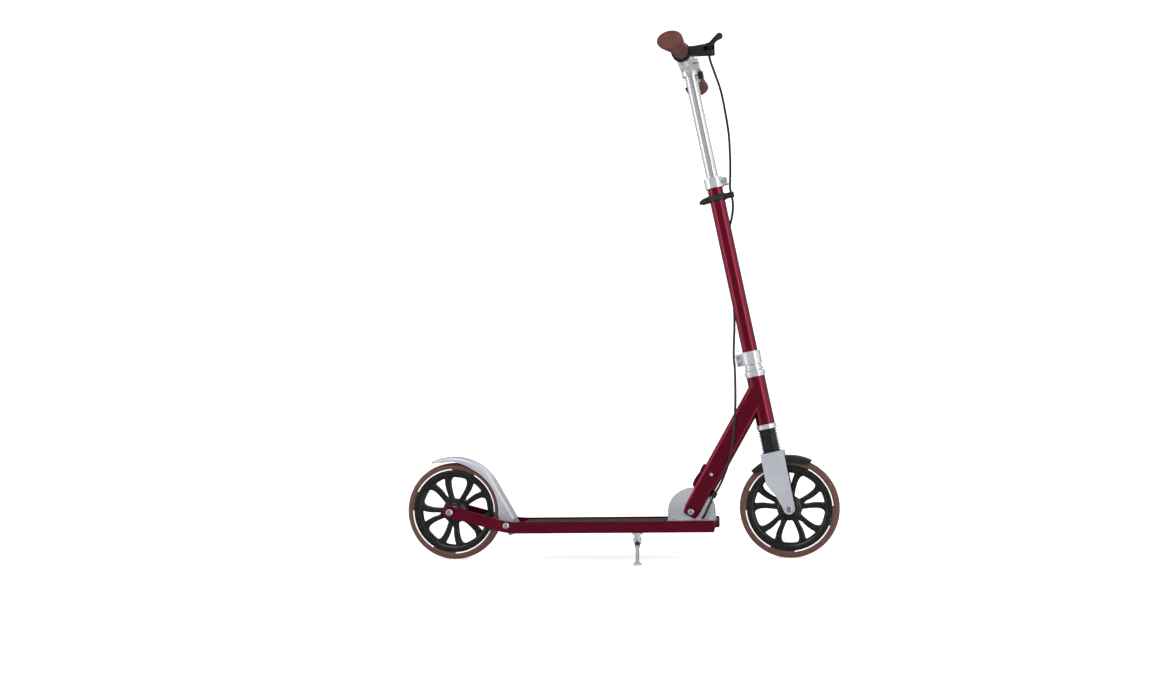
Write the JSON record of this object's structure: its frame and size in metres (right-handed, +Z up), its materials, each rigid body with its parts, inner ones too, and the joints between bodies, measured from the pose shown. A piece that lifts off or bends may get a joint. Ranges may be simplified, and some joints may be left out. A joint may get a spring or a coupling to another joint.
{
  "type": "kick scooter",
  "caption": "Folding kick scooter with large wheels, telescopic T-bar, front suspension, hand and fender brake, and kickstand.",
  "frame": {"origin": "on the ground, halfway between the axles, in the middle plane", "axes": "+X forward, +Y to the rider's left, +Z up"},
  "size_m": [0.917, 0.5268, 1.0532],
  "materials": {
    "burgundy_paint": "metallic gloss",
    "polished_alloy": "polished",
    "satin_alloy": "satin",
    "zinc_steel": "satin",
    "spring_steel": "satin",
    "gloss_black": "gloss",
    "matte_black": "matte",
    "deck_black": "satin",
    "grip_tape": "coarse",
    "black_rubber": "satin",
    "brown_tyre": "satin",
    "brown_rubber": "matte"
  },
  "bodies": {
    "deck": {"side_rail_right": "burgundy_paint", "side_rail_left": "burgundy_paint", "deck_plate": "deck_black", "grip_tape": "grip_tape", "cross_members": "satin_alloy", "fold_bracket": "satin_alloy", "fold_pivot_pin": "zinc_steel", "rear_axle": "zinc_steel", "fender_pivot_bolt": "zinc_steel", "fender_spring": "spring_steel", "kickstand_bracket": "satin_alloy", "deck_bolts": "zinc_steel", "brake_cable_deck": "black_rubber"},
    "rear_wheel": {"rear_tyre": "brown_tyre", "rear_rim": "gloss_black", "rear_bearings": "zinc_steel"},
    "fender": {"rear_fender": "satin_alloy", "brake_pad": "matte_black", "cable_anchor": "zinc_steel"},
    "stand": {"kickstand_leg": "satin_alloy", "kickstand_spring": "matte_black"},
    "front_frame": {"down_tube": "burgundy_paint", "head_tube": "burgundy_paint", "headset_cups": "polished_alloy", "headset_bearings": "zinc_steel", "latch_pivot_pin": "polished_alloy", "down_tube_clip": "matte_black", "brake_cable_lower": "black_rubber"},
    "release": {"fold_lever": "burgundy_paint"},
    "latch": {"latch_bolt": "zinc_steel"},
    "column": {"column_tube": "burgundy_paint", "steerer": "zinc_steel", "column_clamp": "polished_alloy", "clamp_bolts": "zinc_steel", "headset_locknut": "polished_alloy", "height_collar": "polished_alloy", "column_clip": "matte_black", "quick_release_skewer": "zinc_steel", "brake_cable_middle": "black_rubber", "suspension_spring": "spring_steel", "bellows": "black_rubber"},
    "cam_lever": {"quick_release_lever": "polished_alloy"},
    "handlebar": {"inner_tube": "polished_alloy", "bar_housing": "polished_alloy", "housing_knob": "matte_black", "handlebar_tube": "polished_alloy", "grip_right": "brown_rubber", "grip_left": "brown_rubber", "brake_bracket": "matte_black", "brake_cable_upper": "black_rubber"},
    "button": {"height_button": "matte_black"},
    "hand_lever": {"brake_lever": "matte_black"},
    "fork": {"fork_crown": "satin_alloy", "fork_leg_right": "satin_alloy", "fork_leg_left": "satin_alloy", "front_fender": "matte_black", "front_axle": "zinc_steel"},
    "front_wheel": {"front_tyre": "brown_tyre", "front_rim": "gloss_black", "front_bearings": "zinc_steel"}
  },
  "joints": [
    {"name": "fold", "type": "hinge", "parent": "deck", "child": "front_frame", "pos_m": [0.153, 0, 0.097], "axis": [0, -1, 0], "range_deg": [0, 81.5], "deforming": ["brake_cable_lower"]},
    {"name": "steering", "type": "hinge", "parent": "front_frame", "child": "column", "pos_m": [0.3025, 0, 0.32426], "axis": [-0.1857, 0, 0.9826], "range_deg": [-60, 60], "deforming": ["brake_cable_middle"]},
    {"name": "telescope", "type": "slide", "parent": "column", "child": "handlebar", "axis": [-0.1857, 0, 0.9826], "range_m": [-0.185, 0], "deforming": ["brake_cable_upper"]},
    {"name": "suspension", "type": "slide", "parent": "column", "child": "fork", "axis": [-0.1857, 0, 0.9826], "range_m": [0, 0.014], "stiffness_N_per_m": 18000, "springref_m": -0.004, "deforming": ["bellows", "suspension_spring"]},
    {"name": "front_wheel_spin", "type": "hinge", "parent": "fork", "child": "front_wheel", "pos_m": [0.356, 0, 0.1025], "axis": [0, 1, 0], "continuous": true},
    {"name": "rear_wheel_spin", "type": "hinge", "parent": "deck", "child": "rear_wheel", "pos_m": [-0.356, 0, 0.1025], "axis": [0, 1, 0], "continuous": true},
    {"name": "hand_brake", "type": "hinge", "parent": "handlebar", "child": "hand_lever", "pos_m": [0.22845, -0.147, 1.03371], "axis": [0, 0, -1], "range_deg": [0, 29], "stiffness_Nm_per_rad": 0.6, "springref_deg": -17.19},
    {"name": "fender_brake", "type": "hinge", "parent": "deck", "child": "fender", "pos_m": [-0.2315, 0, 0.0745], "axis": [0, -1, 0], "range_deg": [0, 2.1], "stiffness_Nm_per_rad": 30, "springref_deg": -1.72},
    {"name": "kickstand", "type": "hinge", "parent": "deck", "child": "stand", "pos_m": [0.044, -0.05, 0.042], "axis": [0, 0.3971, -0.9178], "range_deg": [0, 97]},
    {"name": "quick_release", "type": "hinge", "parent": "column", "child": "cam_lever", "pos_m": [0.23915, 0.014, 0.78552], "axis": [0.1857, 0, -0.9826], "range_deg": [0, 150]},
    {"name": "fold_release", "type": "hinge", "parent": "front_frame", "child": "release", "pos_m": [0.18243, 0, 0.19215], "axis": [0, -1, 0], "range_deg": [0, 12], "stiffness_Nm_per_rad": 1.5, "springref_deg": -8.59},
    {"name": "latch_slide", "type": "slide", "parent": "front_frame", "child": "latch", "axis": [0.5045, 0, 0.8634], "range_m": [0, 0.0072]},
    {"name": "height_button_press", "type": "slide", "parent": "handlebar", "child": "button", "axis": [0.9826, 0, 0.1857], "range_m": [0, 0.0035], "stiffness_N_per_m": 800, "springref_m": -0.002}
  ],
  "couplings": [
    {"joint": "fender_brake", "follows": "hand_brake", "ratio": 0.0717},
    {"joint": "latch_slide", "follows": "fold_release", "m_per_rad": 0.0343}
  ]
}
